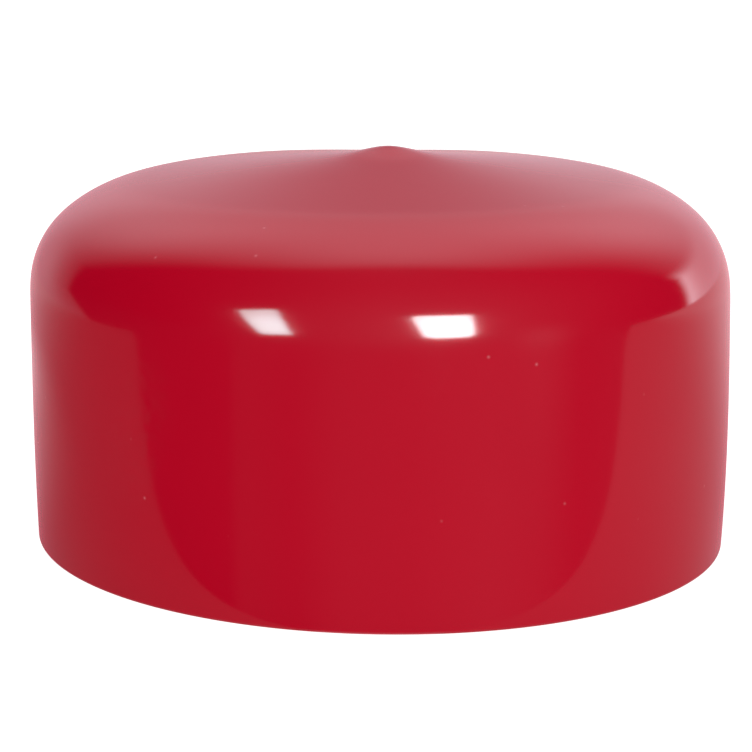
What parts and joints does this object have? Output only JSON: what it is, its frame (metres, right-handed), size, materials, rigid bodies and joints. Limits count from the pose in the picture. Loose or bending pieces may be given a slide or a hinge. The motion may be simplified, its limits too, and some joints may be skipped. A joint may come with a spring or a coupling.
{
  "type": "push-on pipe end cap",
  "caption": "Round soft vinyl push-on end cap: straight wall, broad rounded shoulder, shallow conical crown with a small drip at its centre, open mouth below.",
  "frame": {"origin": "centre of the mouth, on the plane of the mouth's trimmed edge, which is what the cap stands on", "axes": "+Z along the cap's axis, from the open mouth up to the closed end; the cap is round, so X and Y are alike"},
  "size_m": [0.119, 0.119, 0.0669],
  "materials": {
    "vinyl_red": "glossy dip-moulded soft vinyl, plain red"
  },
  "bodies": {
    "root": {"end_cap": "vinyl_red"}
  },
  "joints": []
}
